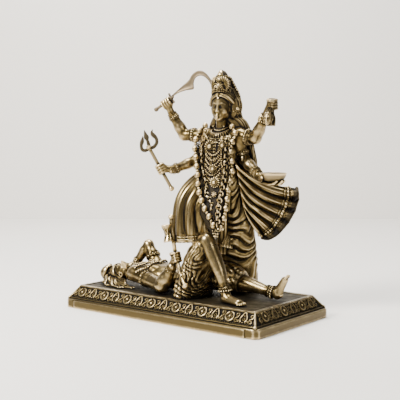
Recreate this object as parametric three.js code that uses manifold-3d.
// A figure of the goddess Kali standing on Shiva, on a plinth with a filigree band.
// Millimetres, +Z up, the plinth's long side along X, the goddess facing -Y.
// The origin is at the centre of the plinth's underside.
import * as THREE from 'three';
import { mergeVertices } from 'three/addons/utils/BufferGeometryUtils.js';
import Module from 'manifold-3d';

const wasm = await Module();
wasm.setup();

// Plinth
const PLINTH_LENGTH = 240;
const PLINTH_DEPTH = 126;
const PLINTH_HEIGHT = 22;
const SLAB_HEIGHT = 9;
const SLAB_CHAMFER = 4;
const SLOPE_FOOT_INSET = 3.5;
const SLOPE_LEAN_END = 7.5;
const SLOPE_LEAN_FRONT = 10.5;
const RIM_WIDTH = 2.4;
const RIM_DROP = 0.6;
const RIDGE_RADIUS = 1.3;
const BORDER_WIDTH = 2;
const BORDER_PROUD = 1;
const PLATE_PROUD = 0.8;
const PLATE_INSET = 13;
const MOTIF_PITCH = 15.6;
const MOTIF_RADIUS = 5.4;
const MOTIF_WEB = 2;
const MOTIF_GAP = 0.8;
const MOTIF_PROUD = 1.3;

// Figures, from the plinth's top to the crown's tip
const FIGURE_HEIGHT = 219;
const SEAT_GAP = 0.3;

// What the hands hold
const SWORD_THICKNESS = 1.8;
const SWORD_GRIP_RADIUS = 1.5;
const TRIDENT_SHAFT_RADIUS = 1.9;
const STAFF_RADIUS = 1.9;
const DRUM_RADIUS = 5.2;
const DRUM_LENGTH = 17;
const BOWL_RADIUS = 12;
const BOWL_HEIGHT = 7.5;
const BOWL_WALL = 1.4;
const GRIP_CLEARANCE = 0.3;
const VEIL_THICKNESS = 2.6;
const FIST_LENGTH = 10.5;

// Hands and the bowl, as points of the pose
const SWORD_HAND = [-26.7, -8.4, 187.5];
const SWORD_RUN = [0.953, 0.302];
const SWORD_LINE = [0.825, 0.261, 0.5];
const TRIDENT_HAND = [-22.4, -22.7, 122.3];
const TRIDENT_LINE = [-0.38, -0.285, 0.88];
const TRIDENT_MARK = [-22, -22.4];
const TRIDENT_RUN = [0.8, 0.6];
const HAIR_HAND = [92.5, 2, 184.5];
const BOWL_SEAT = [97, -2, 113.5];
const STAFF_LINE = [[24.6, -40, 10], [16.5, -38, 24], [8, -36, 38], [5.2, -37.2, 55], [2.4, -37, 70],
  [1.9, -36.4, 77]];
const STAFF_GRIP = [-0.4, 0.1, 1];
const DRUM_SEAT = [0.6, -40.2, 61.5];

// The long garland, from the left shoulder down to the knee and up to the right shoulder
const GARLAND_HEADS = 31;
const GARLAND_LINE = [[46, 1, 158], [48.5, -5, 146], [50, -8.5, 132], [51, -10.5, 118], [52, -13, 106],
  [53, -18, 95], [53, -23, 84], [51.5, -27, 72], [48, -30, 63], [42, -30, 68], [34, -28.5, 82],
  [26, -24, 96], [20, -18, 108], [16, -11.5, 120], [15.5, -9, 132], [16.5, -7, 144], [19, -1, 157]];

// Every point and size of the pose is in 219ths of the figures' height.
const POSE = FIGURE_HEIGHT / 219;
const Z_AXIS = new THREE.Vector3(0, 0, 1);

const bronze = new THREE.MeshStandardMaterial({ color: 0x8f7a4a, roughness: 0.38, metalness: 0.9 });
const baseBronze = new THREE.MeshStandardMaterial({ color: 0x85724a, roughness: 0.45, metalness: 0.85 });
const bladeMetal = new THREE.MeshStandardMaterial({ color: 0xb59a76, roughness: 0.5, metalness: 0.7 });

// Solids

function solid(geometry) {
  geometry.deleteAttribute('normal');
  geometry.deleteAttribute('uv');
  const merged = mergeVertices(geometry, 1e-4);
  return new wasm.Manifold(new wasm.Mesh({
    numProp: 3,
    vertProperties: new Float32Array(merged.attributes.position.array),
    triVerts: new Uint32Array(merged.index.array),
  }));
}

function join(pieces) {
  return pieces.reduce((whole, piece) => whole.add(piece));
}

function mesh(name, manifold, material) {
  const { vertProperties, triVerts } = manifold.getMesh();
  const geometry = new THREE.BufferGeometry();
  geometry.setAttribute('position', new THREE.BufferAttribute(Float32Array.from(vertProperties), 3));
  geometry.setIndex(new THREE.BufferAttribute(Uint32Array.from(triVerts), 1));
  geometry.computeVertexNormals();
  const made = new THREE.Mesh(geometry, material);
  made.name = name;
  return made;
}

// A closed skin over rings of equal length, each ring an array of points counter-clockwise seen from
// the end of the loft, with a fan over the first and the last ring.
function skin(rings) {
  const sides = rings[0].length;
  const points = rings.flat();
  const faces = [];
  for (let i = 0; i + 1 < rings.length; i++) {
    for (let j = 0; j < sides; j++) {
      const a = i * sides + j;
      const b = i * sides + (j + 1) % sides;
      faces.push(a, b, b + sides, a, b + sides, a + sides);
    }
  }
  for (const [ring, outward] of [[0, false], [rings.length - 1, true]]) {
    const centre = new THREE.Vector3();
    rings[ring].forEach((p) => centre.addScaledVector(p, 1 / sides));
    const hub = points.push(centre) - 1;
    for (let j = 0; j < sides; j++) {
      const a = ring * sides + j;
      const b = ring * sides + (j + 1) % sides;
      faces.push(...(outward ? [a, b, hub] : [b, a, hub]));
    }
  }
  const geometry = new THREE.BufferGeometry().setFromPoints(points);
  geometry.setIndex(faces);
  return solid(geometry);
}

// A loft along stations [x, y, z, half width, half depth]. The numbers run smoothly from one
// station to the next. front is the way that the half depth is measured, and relief(angle, t)
// swells the ring at an angle from the side, with t from 0 to 1 along the loft.
function loft(stations, { sides = 8, steps = stations.length, front = [0, -1, 0], relief = () => 1,
  grow = 0 } = {}) {
  const spine = new THREE.CatmullRomCurve3(stations.map((s) => new THREE.Vector3(s[0], s[1], s[2])
    .multiplyScalar(POSE)), false, 'centripetal');
  const sizes = new THREE.CatmullRomCurve3(stations.map((s) => new THREE.Vector3(s[3], s[4] ?? s[3], 0)
    .multiplyScalar(POSE)), false, 'centripetal');
  const ahead = new THREE.Vector3(...front);
  const rings = [];
  for (let i = 0; i < steps; i++) {
    const t = i / (steps - 1);
    const centre = spine.getPoint(t);
    const size = sizes.getPoint(t);
    const along = spine.getTangent(t);
    const side = along.clone().cross(ahead).normalize();
    const depth = side.clone().cross(along).normalize();
    const ring = [];
    for (let j = 0; j < sides; j++) {
      const angle = 2 * Math.PI * j / sides;
      const swell = relief(angle, t);
      ring.push(centre.clone()
        .addScaledVector(side, (size.x * swell + grow) * Math.cos(angle))
        .addScaledVector(depth, -(size.y * swell + grow) * Math.sin(angle)));
    }
    rings.push(ring);
  }
  return skin(rings);
}

function ball([x, y, z], [a, b, c], { around = 8, up = 6, turn = [0, 0, 0], grow = 0 } = {}) {
  const geometry = new THREE.SphereGeometry(1, around, up);
  const matrix = new THREE.Matrix4().compose(
    new THREE.Vector3(x, y, z).multiplyScalar(POSE),
    new THREE.Quaternion().setFromEuler(new THREE.Euler(...turn.map(THREE.MathUtils.degToRad))),
    new THREE.Vector3(a * POSE + grow, b * POSE + grow, c * POSE + grow));
  geometry.rotateX(Math.PI / 2).applyMatrix4(matrix);
  return solid(geometry);
}

function bead([x, y, z], radius) {
  const geometry = new THREE.OctahedronGeometry(radius * POSE);
  geometry.translate(x * POSE, y * POSE, z * POSE);
  return solid(geometry);
}

// A rod of true size between two points of the pose.
function rod(from, to, radius, sides = 8) {
  const a = new THREE.Vector3(...from).multiplyScalar(POSE);
  const b = new THREE.Vector3(...to).multiplyScalar(POSE);
  const along = b.clone().sub(a);
  const geometry = new THREE.CylinderGeometry(radius, radius, along.length(), sides);
  geometry.rotateX(Math.PI / 2);
  geometry.applyQuaternion(new THREE.Quaternion().setFromUnitVectors(Z_AXIS, along.clone().normalize()));
  geometry.translate(...a.add(b).multiplyScalar(0.5).toArray());
  return solid(geometry);
}

function block(width, depth, height, x, y, z) {
  const geometry = new THREE.BoxGeometry(width, depth, height);
  geometry.translate(x, y, z);
  return solid(geometry);
}

function mix(a, b, t) {
  return a.map((value, i) => value + (b[i] - value) * t);
}

// A thin cloth: surface(u, v) is the face that is seen and away(v) leads from it to the other face.
function cloth(surface, away, across, along) {
  const rings = [];
  for (let i = 0; i <= along; i++) {
    const v = i / along;
    const ring = [];
    for (let j = 0; j <= across; j++) {
      ring.push(surface(j / across, v));
    }
    for (let j = across; j >= 0; j--) {
      ring.push(surface(j / across, v).add(away(v)));
    }
    rings.push(ring);
  }
  return skin(rings);
}

// Flutes round a loft, turning with its length.
function flutes(count, depth, twist = 0) {
  return (angle, t) => 1 + depth * Math.cos(count * angle + twist * t);
}

// A hand closed round a rod: a barrel along the rod with a swelling for each of four fingers.
function fist(centre, line, radius, grow = 0) {
  const along = new THREE.Vector3(...line).normalize();
  const stations = [[-0.5, 0.7], [-0.42, 1], [0, 1], [0.42, 1], [0.5, 0.7]].map(([share, size]) => {
    const at = new THREE.Vector3(...centre).addScaledVector(along, share * FIST_LENGTH);
    return [at.x, at.y, at.z, radius * size];
  });
  const front = Math.abs(along.z) > 0.9 ? [0, -1, 0] : [0, 0, 1];
  return loft(stations, { sides: 6, steps: 9, front, grow,
    relief: (angle, t) => 1 + 0.08 * Math.cos(2 * Math.PI * (4 * t - 0.5)) });
}

// An arm from shoulder to wrist, with an armlet above the elbow and bangles above the wrist.
function arm(shoulder, elbow, wrist, [shoulderSize, elbowSize, wristSize], grow = 0) {
  const upper = [[-0.1, 0.3], [0.05, 1], [0.45, 0.6], [0.53, 0.5, 1.2], [0.68, 0.35, 1.2], [0.76, 0.3]];
  const lower = [[0.16, 1], [0.35, 0.95], [0.7, 0.4], [0.76, 0.25, 1.4], [0.93, 0.1, 1.4], [1, 0]];
  return loft([
    ...upper.map(([t, share, ring = 0]) => [...mix(shoulder, elbow, t),
      elbowSize + (shoulderSize - elbowSize) * share + ring]),
    [...elbow, elbowSize],
    ...lower.map(([t, share, ring = 0]) => [...mix(elbow, wrist, t),
      wristSize + (elbowSize - wristSize) * share + ring]),
  ], { sides: 6, front: [0.3, -1, 0.4], grow });
}

// A foot from heel to toes; up is the way from its sole to its instep.
function foot(heel, toe, up, width, grow = 0) {
  const profile = [[-0.12, 3, 0.4, 2.6], [0, 3.6, 0.75, 4.2], [0.4, 4, 0.85, 4.4], [0.75, 2.4, 1.1, 2.8],
    [1, 1.6, 0.95, 1.8]];
  return loft(profile.map(([t, lift, side, depth]) => {
    const at = mix(heel, toe, t);
    return [at[0] + up[0] * lift, at[1] + up[1] * lift, at[2] + up[2] * lift, side * width, depth];
  }), { sides: 6, steps: 5, front: up, grow });
}

// Plinth

// The outline of the plinth at one height, with its corners cut off.
function plinthOutline(length, depth, chamfer, z) {
  const x = length / 2;
  const y = depth / 2;
  const c = chamfer;
  return [[x - c, -y], [x, -y + c], [x, y - c], [x - c, y], [-x + c, y], [-x, y - c], [-x, -y + c],
    [-x + c, -y]].map(([px, py]) => new THREE.Vector3(px, py, z));
}

// The frame of one sloping side: its X along the foot, its Y up the slope and its Z out of it.
// turns counts quarter turns from the front and reach is from the plinth's middle to the foot.
function slopeFrame(turns, reach, run) {
  const edge = new THREE.Vector3(1, 0, 0);
  const up = new THREE.Vector3(0, run, PLINTH_HEIGHT - SLAB_HEIGHT).normalize();
  const out = edge.clone().cross(up);
  return new THREE.Matrix4().makeRotationZ(turns * Math.PI / 2)
    .multiply(new THREE.Matrix4().makeTranslation(0, -reach, SLAB_HEIGHT))
    .multiply(new THREE.Matrix4().makeBasis(edge, up, out));
}

// One ring of the filigree, with its corners counted.
function motif(corners) {
  const shape = new THREE.Shape();
  const hole = new THREE.Path();
  for (const [path, radius] of [[shape, MOTIF_RADIUS], [hole, MOTIF_RADIUS - MOTIF_WEB]]) {
    for (let i = 0; i < corners; i++) {
      const angle = 2 * Math.PI * i / corners + Math.PI / 2;
      const point = [radius * Math.cos(angle), radius * Math.sin(angle)];
      path[i === 0 ? 'moveTo' : 'lineTo'](...point);
    }
    path.closePath();
  }
  shape.holes.push(hole);
  return new THREE.ExtrudeGeometry(shape, { depth: 2 * MOTIF_PROUD, bevelEnabled: false });
}

function placed(geometry, frame, x, y, z) {
  geometry.applyMatrix4(frame.clone().multiply(new THREE.Matrix4().makeTranslation(x, y, z)));
  return solid(geometry);
}

function plinthSide(turns, length, depth, run, otherRun) {
  const slope = Math.hypot(PLINTH_HEIGHT - SLAB_HEIGHT, run);
  const frame = slopeFrame(turns, depth / 2, run);
  const topLength = length - 2 * otherRun;
  const pieces = [
    placed(new THREE.BoxGeometry(topLength - 1, RIM_WIDTH, 2 * BORDER_PROUD), frame, 0,
      slope - RIM_WIDTH / 2, 0),
    placed(new THREE.BoxGeometry(length - 1, BORDER_WIDTH, 2 * BORDER_PROUD), frame, 0, BORDER_WIDTH / 2, 0),
  ];
  const count = Math.floor((topLength - 2 * MOTIF_RADIUS) / MOTIF_PITCH) + 1;
  const middle = BORDER_WIDTH + MOTIF_GAP + MOTIF_RADIUS;
  for (let i = 0; i < count; i++) {
    const x = (i - (count - 1) / 2) * MOTIF_PITCH;
    pieces.push(placed(motif(i % 2 ? 5 : 4), frame, x, middle, -MOTIF_PROUD));
  }
  return pieces;
}

function plinthRidge(foot, head) {
  const geometry = new THREE.CylinderGeometry(RIDGE_RADIUS, RIDGE_RADIUS, foot.distanceTo(head), 6);
  geometry.rotateX(Math.PI / 2);
  const along = head.clone().sub(foot).normalize();
  geometry.applyQuaternion(new THREE.Quaternion().setFromUnitVectors(Z_AXIS, along));
  const middle = foot.clone().add(head).multiplyScalar(0.5);
  geometry.translate(middle.x, middle.y, middle.z);
  return solid(geometry);
}

function plinth() {
  const footLength = PLINTH_LENGTH - 2 * SLOPE_FOOT_INSET;
  const footDepth = PLINTH_DEPTH - 2 * SLOPE_FOOT_INSET;
  const topLength = footLength - 2 * SLOPE_LEAN_END;
  const topDepth = footDepth - 2 * SLOPE_LEAN_FRONT;
  const ridges = [];
  for (const sx of [-1, 1]) {
    for (const sy of [-1, 1]) {
      ridges.push(plinthRidge(
        new THREE.Vector3(sx * footLength / 2, sy * footDepth / 2, SLAB_HEIGHT),
        new THREE.Vector3(sx * topLength / 2, sy * topDepth / 2, PLINTH_HEIGHT)));
    }
  }
  const slabDepth = PLINTH_DEPTH - 2 * PLATE_PROUD;
  const body = join([
    skin([plinthOutline(PLINTH_LENGTH, slabDepth, SLAB_CHAMFER, 0),
      plinthOutline(PLINTH_LENGTH, slabDepth, SLAB_CHAMFER, SLAB_HEIGHT)]),
    block(PLINTH_LENGTH - 2 * PLATE_INSET, PLINTH_DEPTH, SLAB_HEIGHT - 1, 0, 0, (SLAB_HEIGHT - 1) / 2),
    skin([plinthOutline(footLength, footDepth, 1, SLAB_HEIGHT - 1),
      plinthOutline(footLength, footDepth, 1, SLAB_HEIGHT),
      plinthOutline(topLength, topDepth, 1, PLINTH_HEIGHT)]),
    ...ridges,
    ...plinthSide(0, footLength, footDepth, SLOPE_LEAN_FRONT, SLOPE_LEAN_END),
    ...plinthSide(1, footDepth, footLength, SLOPE_LEAN_END, SLOPE_LEAN_FRONT),
    ...plinthSide(2, footLength, footDepth, SLOPE_LEAN_FRONT, SLOPE_LEAN_END),
    ...plinthSide(3, footDepth, footLength, SLOPE_LEAN_END, SLOPE_LEAN_FRONT),
  ]);
  const above = block(PLINTH_LENGTH, PLINTH_DEPTH, PLINTH_HEIGHT, 0, 0, 1.5 * PLINTH_HEIGHT);
  const floor = block(topLength - 2 * RIM_WIDTH, topDepth - 2 * RIM_WIDTH, 2 * RIM_DROP, 0, 0, PLINTH_HEIGHT);
  return body.subtract(above).subtract(floor);
}

// Everything under the figures' seat, to cut them flat.
function underSeat() {
  return block(PLINTH_LENGTH, PLINTH_DEPTH, FIGURE_HEIGHT / 2, 0, 0, -FIGURE_HEIGHT / 4);
}

// Shiva, on his back with his head at -X and his near knee raised

function shivaBody(grow) {
  return [
    loft([[20, -13, 12, 15, 11], [0, -12, 12, 14.5, 11], [-16, -11, 13.5, 14, 11], [-34, -10, 15, 17.5, 12],
      [-48, -11, 15.5, 18, 11.5], [-57, -13, 15, 13, 9], [-63, -15, 15, 8.4, 8], [-72, -17, 14, 6.2, 6.2]],
    { sides: 9, front: [0, 0, 1], grow }),
    ball([-79.5, -18, 12.5], [11, 10, 12.5], { around: 8, up: 6, turn: [0, 90, 0], grow }),
    ball([-75.5, -18.5, 23], [3.6, 1.9, 3.2], { around: 5, up: 4, grow }),
    loft([[-83, -18, 12, 11.6, 12], [-90, -18, 11.5, 11.4, 12], [-97, -18.5, 10, 9, 9.4], [-105, -19, 8.5, 8.6, 8.6],
      [-113, -20, 7.5, 4]], { sides: 8, steps: 6, front: [0, 0, 1], grow, relief: flutes(4, 0.08, 3) }),
    loft([[-98, -10, 1, 5], [-88, -27, 1, 5], [-74, -32, 1, 6], [-62, -34, 0, 4]],
      { sides: 5, front: [0, 0, 1], grow }),
  ];
}

function shivaArms(grow) {
  return [
    arm([-54, -24, 14], [-17, -35, 7], [1, -34.5, 29], [7.6, 6.2, 4.2], grow),
    loft([[1, -34.5, 29, 4.4], [5, -35, 35, 4.8], [8, -36, 38, 4.4]], { sides: 6, grow }),
    fist([8, -36, 38], STAFF_GRIP, 5, grow),
    arm([-51, 3, 21], [-64.5, 6, 40.5], [-77, 0, 20], [7, 5.2, 4], grow),
    loft([[-76, 0, 21, 4], [-82, -4, 16, 5], [-88, -9, 14, 3]], { sides: 6, front: [0, 0, 1], grow }),
  ];
}

function shivaLegs(grow) {
  const crumple = (angle, t) => 1 + 0.06 * Math.sin(19 * t + 2 * Math.sin(2 * angle));
  return [
    loft([[20, -21, -3, 25, 14], [21, -22, 10, 24, 15], [27, -24, 26, 18.5, 13.5], [33, -27, 42, 13.5, 11.5],
      [39, -29, 54, 9.5, 9], [41.5, -30, 61, 5, 5]], { sides: 10, steps: 9, grow, relief: crumple }),
    loft([[40, -30, 58.5, 6.6], [47, -30, 47, 7.6], [56, -31, 30, 6.4], [61, -31, 17, 4.6], [62.5, -31, 12.5, 6.2],
      [63.5, -31, 9.5, 5.8], [64.5, -31, 5, 4.6]], { sides: 6, steps: 8, grow }),
    foot([61, -31, 0], [87, -37, 0], [0, 0, 1], 7, grow),
    loft([[10, -2, 13, 13, 12], [24, 0, 17, 15, 14], [42, 3, 18, 14, 14], [54, 4, 15, 12, 11.5],
      [59, 4, 13, 8, 8]], { sides: 10, steps: 5, front: [0, 0, 1], grow, relief: flutes(5, 0.06) }),
    loft([[50, 4, 15, 8], [66, 4.5, 12.4, 7.2], [82, 5, 9.2, 5.4], [87, 5.3, 8.6, 6.6], [91, 5.6, 8, 6.4],
      [97, 6, 6.5, 4.6]], { sides: 6, steps: 7, front: [0, 0, 1], grow }),
    foot([98.5, 6, 0], [108, 8.5, 23.5], [-0.93, -0.1, 0.36], 6.2, grow),
  ];
}

function shiva(grow = 0) {
  return join([...shivaBody(grow), ...shivaArms(grow), ...shivaLegs(grow)]);
}

function staffShaft(grow) {
  return loft(STAFF_LINE.map((point) => [...point, (STAFF_RADIUS + grow) / POSE]), { sides: 7, steps: 8 });
}

// The staff with an hourglass drum bound to it.
function staff() {
  const drum = [[-0.5, 0.8], [-0.42, 1], [0, 0.38], [0.42, 1], [0.5, 0.8]].map(([share, width]) => {
    const along = DRUM_LENGTH * share / POSE;
    return [DRUM_SEAT[0] - 0.2 * along, DRUM_SEAT[1], DRUM_SEAT[2] + along, DRUM_RADIUS * width / POSE];
  });
  return join([
    staffShaft(0),
    ball(STAFF_LINE.at(-1), [2.6, 2.6, 3.2], { around: 7, up: 5 }),
    ball(STAFF_LINE[0], [3, 3, 3.4], { around: 7, up: 5 }),
    loft(drum, { sides: 8, steps: 9 }),
  ]);
}

// Kali

function kaliBody() {
  return [
    loft([[30, 12, 82, 11, 8], [27, 10, 92, 18, 13], [27, 9, 102, 19, 14], [29, 8, 113, 14.5, 11.5], [31, 7, 128, 15.5, 12], [31.6, 6, 141, 18.5, 12.5],
      [31.4, 6.5, 152, 20, 10.5], [31, 7.5, 159, 13, 8.5], [30.5, 7, 163.5, 6.6, 6.4], [30.6, 6, 172, 6, 6]],
    { sides: 10, steps: 12 }),
    ball([23.5, -4, 141], [6.4, 5.6, 6.2], { around: 6, up: 4 }),
    ball([39.5, -4, 141], [6.4, 5.6, 6.2], { around: 6, up: 4 }),
    ball([32, 4.5, 183.6], [10, 11.8, 14.4], { around: 8, up: 6 }),
    ball([34, -4.3, 173.4], [4, 4, 3.6], { around: 6, up: 4 }),
    ball([34.6, -7, 181], [1.6, 2.6, 4], { around: 5, up: 4, turn: [12, 0, 13] }),
  ];
}

// The crown, its foot ringed with petals, and round studs over the ears.
function kaliCrown() {
  const petals = (angle, t) => 1 + 0.09 * Math.max(0, 1 - 2.2 * t) * Math.cos(5 * angle);
  return [
    loft([[32.4, 6, 187, 10.4, 11.8], [32.4, 6, 193, 11, 12], [32.4, 6, 199, 10.4, 10.6], [32.2, 6, 205, 8, 8],
      [32.1, 6, 211, 4.8, 4.8], [32, 6, 215.5, 2.6, 2.6], [32, 6, 219, 0.5, 0.5]],
    { sides: 10, steps: 7, relief: petals }),
    ball([43.4, 9, 182], [3, 3.4, 4.4], { around: 5, up: 4 }),
    ball([20.6, 9, 182], [3, 3.4, 4.4], { around: 5, up: 4 }),
  ];
}

// The long hair, a mantle down the back to below the hips.
function kaliHair() {
  return loft([[33, 12, 200, 8.5, 7], [33.5, 13, 190, 14, 10], [34, 14, 175, 14.5, 9], [36, 16, 160, 20, 7],
    [40, 19, 140, 21, 7], [43, 22, 118, 19, 7], [45, 24, 98, 14, 7], [46, 25, 84, 8, 5]],
  { sides: 12, steps: 8, relief: flutes(6, 0.05, 2) });
}

function kaliArms() {
  return [
    arm([13, 6, 155.5], [-12.5, 2, 155.5], [-23.5, -5, 177.5], [7.6, 6, 4]),
    loft([[-23, -5, 176, 4], [-25, -6.5, 182, 4.6], SWORD_HAND.concat(4)], { sides: 6, steps: 4 }),
    fist(SWORD_HAND, SWORD_LINE, 5),
    arm([49, 10, 155], [68, 10, 153], [83.5, 4.5, 174.5], [8.4, 6, 4]),
    loft([[83, 4.5, 174, 4], [87, 3.6, 179, 4.6], HAIR_HAND.concat(4)], { sides: 6, steps: 4 }),
    fist(HAIR_HAND, [0.1, -0.2, 1], 5),
    arm([15, 6, 145], [0.5, 2, 130], [-14, -16, 121], [7, 5.4, 4]),
    loft([[-13, -15, 121, 4], [-17.5, -19, 121.6, 4.6], TRIDENT_HAND.concat(4)],
      { sides: 6, steps: 4, front: [0, 0, 1] }),
    fist(TRIDENT_HAND, TRIDENT_LINE, 5),
    arm([49, 10, 147], [54, 12, 132], [76.5, 3, 118.5], [7, 5.6, 4]),
    loft([[75, 3.6, 119, 4.2, 4], [83, 1, 115, 5.4, 3.2], [92, -1, 112, 6, 2.6], [103, -3, 113, 5, 1.8]],
      { sides: 6, steps: 5, front: [0, 0, 1] }),
  ];
}

function severedHead() {
  return [
    ball([92, -4, 171.5], [5, 5.6, 6.4], { around: 7, up: 5 }),
    loft([[93, 1, 184, 3.4], [94, 0.5, 176, 5.4], [94.5, 0.5, 169, 4.6], [95.5, 0.5, 164, 2]],
      { sides: 6, steps: 5, relief: flutes(3, 0.1, 4) }),
  ];
}

// The skull cup: an open bowl of even wall.
function bowl() {
  const outside = [[0.34, 0], [0.74, 0.22], [0.93, 0.58], [1, 1]];
  const skinOf = (radius, height, lift) => outside.map(([r, h]) => [radius * r, lift + height * h]);
  const profile = [[0, 0], ...skinOf(BOWL_RADIUS, BOWL_HEIGHT, 0),
    ...skinOf(BOWL_RADIUS - BOWL_WALL, BOWL_HEIGHT - BOWL_WALL, BOWL_WALL).reverse(), [0, BOWL_WALL]];
  const geometry = new THREE.LatheGeometry(profile.map(([r, h]) => new THREE.Vector2(r, h)), 14);
  geometry.rotateX(Math.PI / 2);
  geometry.translate(...BOWL_SEAT.map((value) => value * POSE));
  return solid(geometry);
}

// The room inside the bowl and over it.
function bowlRoom() {
  const inside = BOWL_RADIUS - BOWL_WALL;
  const geometry = new THREE.CylinderGeometry(inside, 0.74 * inside, BOWL_HEIGHT, 14);
  geometry.rotateX(Math.PI / 2);
  geometry.translate(BOWL_SEAT[0] * POSE, BOWL_SEAT[1] * POSE,
    BOWL_SEAT[2] * POSE + BOWL_WALL + BOWL_HEIGHT / 2);
  return solid(geometry);
}

// The cloth over the raised right leg, from the waist to a hem above Shiva's belly, and the leg under it.
function kaliRightLeg() {
  const flare = (angle, t) => 1 + 0.11 * Math.min(1, 1.6 * t) * Math.cos(9 * angle + 5 * t);
  return [
    loft([[27, 5, 112, 13, 11], [22, 1, 105, 19.5, 16], [16, -6, 96, 21.5, 19.5], [13, -12, 86, 21.5, 19],
      [12.5, -15, 72, 21, 18], [13, -16, 60, 21, 17], [14, -17, 52, 21, 16]],
    { sides: 18, steps: 7, front: [0.62, -0.78, 0], relief: flare }),
    loft([[13, -10, 60, 8], [14, -9, 46, 6.4], [13.5, -8, 34, 5], [13, -8.5, 26, 4.6]], { sides: 6, steps: 4 }),
    foot([14, -5, 23], [9, -27, 25], Z_AXIS.toArray(), 6),
  ];
}

// The standing left leg, wrapped in cloth with folds across it.
function kaliLeftLeg() {
  const wraps = (angle, t) => 1 + 0.05 * Math.cos(2 * Math.PI * (7 * t - 0.35 * Math.cos(angle - 0.6)));
  return loft([[40, 12, 108, 15, 14], [42, 15, 94, 14.5, 14], [43, 18, 78, 14, 14], [42, 21, 62, 14, 14],
    [42, 25, 44, 14, 13.5], [42, 29, 26, 14.5, 13], [42, 30, 10, 15, 13], [42, 30, -2, 15, 13.5]],
  { sides: 12, steps: 15, front: [0.62, -0.78, 0], relief: wraps });
}

// The end of the sari, blown out to the left in a fan of flutes.
function kaliVeil() {
  const run = new THREE.Vector3(0.93, 0.37, 0);
  const back = new THREE.Vector3(-0.37, 0.93, 0);
  const hem = new THREE.CatmullRomCurve3([[36, 104.5], [37.5, 99], [36, 89], [31.5, 78], [25, 68], [16.5, 59],
    [8, 54.5], [3, 55.5]].map(([s, z]) => new THREE.Vector3(s, 0, z)));
  const surface = (u, v) => {
    const end = hem.getPoint(u);
    const bend = (from, by, to) => (1 - v) * (1 - v) * from + 2 * v * (1 - v) * by + v * v * to;
    const s = bend(-15 - 2 * u, 3 - 11 * u, end.x);
    const z = bend(122 - 38 * u, 104 - 38 * u, end.z);
    const flute = (0.4 + 2 * v) * Math.cos(2 * Math.PI * 5 * u);
    return new THREE.Vector3(62, 27, z).addScaledVector(run, s).addScaledVector(back, flute)
      .multiplyScalar(POSE);
  };
  return cloth(surface, (v) => back.clone().multiplyScalar(VEIL_THICKNESS * (0.8 + 0.6 * v)), 20, 3);
}

// The front of the skirt between the legs, with the end of the sash over it.
function kaliFall() {
  return [
    loft([[36, 2, 106, 12, 9], [38, 1, 92, 12, 9], [38, 2, 76, 10, 9], [37, 4, 60, 8, 8], [36, 6, 46, 6, 6]],
      { sides: 10, steps: 6, front: [0.62, -0.78, 0], relief: flutes(5, 0.08, 2) }),
    loft([[44, -14, 80, 4, 3], [45, -17, 66, 5.5, 3], [45, -17, 54, 7, 3]],
      { sides: 8, steps: 3, front: [0.62, -0.78, 0], relief: flutes(4, 0.14) }),
  ];
}

// The long garland of heads over the mass of the shorter garlands.
function kaliGarland() {
  const pieces = [loft([[32, -2, 158, 12, 3], [32.5, -5.5, 147, 18, 3.6], [33, -7, 131, 18.4, 3.8],
    [34.5, -9.5, 115, 18.5, 4.2], [37, -15, 100, 17, 6], [40.5, -21, 86, 14, 7], [45.5, -25, 72, 8.5, 5.5],
    [48.5, -27, 62, 3.6, 3.4]], { sides: 8, steps: 8 })];
  const line = new THREE.CatmullRomCurve3(GARLAND_LINE.map((point) => new THREE.Vector3(...point)), false,
    'centripetal');
  for (let i = 0; i < GARLAND_HEADS; i++) {
    pieces.push(bead(line.getPointAt(i / (GARLAND_HEADS - 1)).toArray(), 3.7));
  }
  return pieces;
}

function kali() {
  const whole = join([...kaliBody(), ...kaliCrown(), kaliHair(), ...kaliArms(), ...severedHead(),
    ...kaliRightLeg(), kaliLeftLeg(), ...kaliFall(), kaliVeil(), ...kaliGarland()]);
  return whole.subtract(bowlRoom()).add(bowl());
}

// Sword and trident

// A point of the sword's upright plane, a distance along it from the hand.
function swordPoint(along, z) {
  return [SWORD_HAND[0] + SWORD_RUN[0] * along, SWORD_HAND[1] + SWORD_RUN[1] * along, z];
}

function swordGrip(grow) {
  return rod(swordPoint(-11, 181.4), swordPoint(8, 192.6), SWORD_GRIP_RADIUS + grow, 7);
}

function sword() {
  const back = [[6, 195.5], [15.8, 203.5], [22.9, 209.3], [27, 215], [31.5, 218.2], [37, 218.8], [42, 215.8],
    [46, 211], [48.6, 206.5], [48.4, 203.2]];
  const edge = [[46.8, 204], [44.1, 208.8], [39.1, 212.9], [34.5, 213.6], [30.3, 211], [28.6, 206],
    [28.6, 200.8], [20.9, 199.6], [12.7, 197.2], [6.8, 193.6], [4.6, 191.6], [3.6, 193.2]];
  const outline = [...back, ...edge].map(([along, z]) => new THREE.Vector2(along, z).multiplyScalar(POSE));
  const geometry = new THREE.ExtrudeGeometry(new THREE.Shape(outline),
    { depth: SWORD_THICKNESS, bevelEnabled: false });
  const run = new THREE.Vector3(...SWORD_RUN, 0).normalize();
  geometry.translate(0, 0, -SWORD_THICKNESS / 2);
  geometry.applyMatrix4(new THREE.Matrix4().makeBasis(run, Z_AXIS, run.clone().cross(Z_AXIS)));
  geometry.translate(SWORD_HAND[0] * POSE, SWORD_HAND[1] * POSE, 0);
  return join([
    swordGrip(0),
    solid(geometry),
    ball(swordPoint(-11.6, 181), [2.2, 2.2, 2.2], { around: 7, up: 5 }),
  ]);
}

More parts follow.
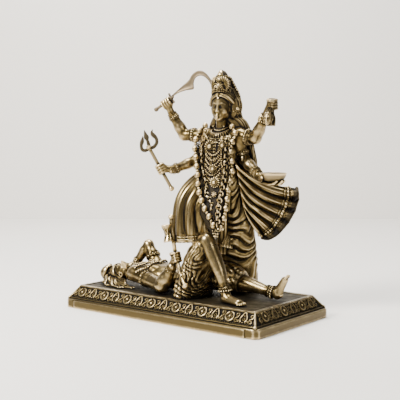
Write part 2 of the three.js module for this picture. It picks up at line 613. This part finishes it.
// A point of the trident's upright plane, a distance along it from the plane's mark by the hand.
function tridentPoint(along, z) {
  return [TRIDENT_MARK[0] + TRIDENT_RUN[0] * along, TRIDENT_MARK[1] + TRIDENT_RUN[1] * along, z];
}

function tridentShaft(grow) {
  return rod(tridentPoint(9.5, 103.5), tridentPoint(-12.2, 143), TRIDENT_SHAFT_RADIUS + grow, 7);
}

function tridentProng(outline) {
  return loft(outline.map(([along, z, size]) => [...tridentPoint(along, z), size]),
    { sides: 5, steps: 8, front: [TRIDENT_RUN[1], -TRIDENT_RUN[0], 0] });
}

function trident() {
  return join([
    tridentShaft(0),
    ball(tridentPoint(9.9, 102.8), [2.8, 2.8, 2.8], { around: 7, up: 5 }),
    ball(tridentPoint(-12.4, 143.5), [2.9, 2.9, 2.3], { around: 7, up: 5 }),
    tridentProng([[-12, 142.5, 1.9], [-13, 147, 2.3], [-15.4, 155, 1.2], [-17, 160.4, 0.25]]),
    tridentProng([[-12.5, 142.5, 1.5], [-15.9, 140.2, 1.7], [-19.3, 141.5, 1.7], [-20, 145.4, 1.5],
      [-18.8, 150.4, 0.9], [-18.6, 154.5, 0.25]]),
    tridentProng([[-12, 142.8, 1.5], [-8, 143.6, 1.7], [-4.6, 147.6, 1.7], [-5, 152.2, 1.5],
      [-8.6, 155.8, 1.1], [-9.9, 158.4, 0.8], [-8.6, 161, 0.25]]),
  ]);
}

const shivaSolid = shiva().subtract(underSeat()).subtract(staffShaft(GRIP_CLEARANCE));
const kaliSolid = kali().subtract(underSeat()).subtract(shiva(SEAT_GAP))
  .subtract(swordGrip(GRIP_CLEARANCE)).subtract(tridentShaft(GRIP_CLEARANCE));

const figures = new THREE.Group();
figures.position.z = PLINTH_HEIGHT - RIM_DROP + SEAT_GAP;
figures.add(mesh('shiva', shivaSolid, bronze));
figures.add(mesh('shiva_staff', staff(), bronze));
figures.add(mesh('kali', kaliSolid, bronze));
figures.add(mesh('sword', sword(), bladeMetal));
figures.add(mesh('trident', trident(), bronze));

const statue = new THREE.Group();
statue.add(mesh('plinth', plinth(), baseBronze));
statue.add(figures);

export default statue;
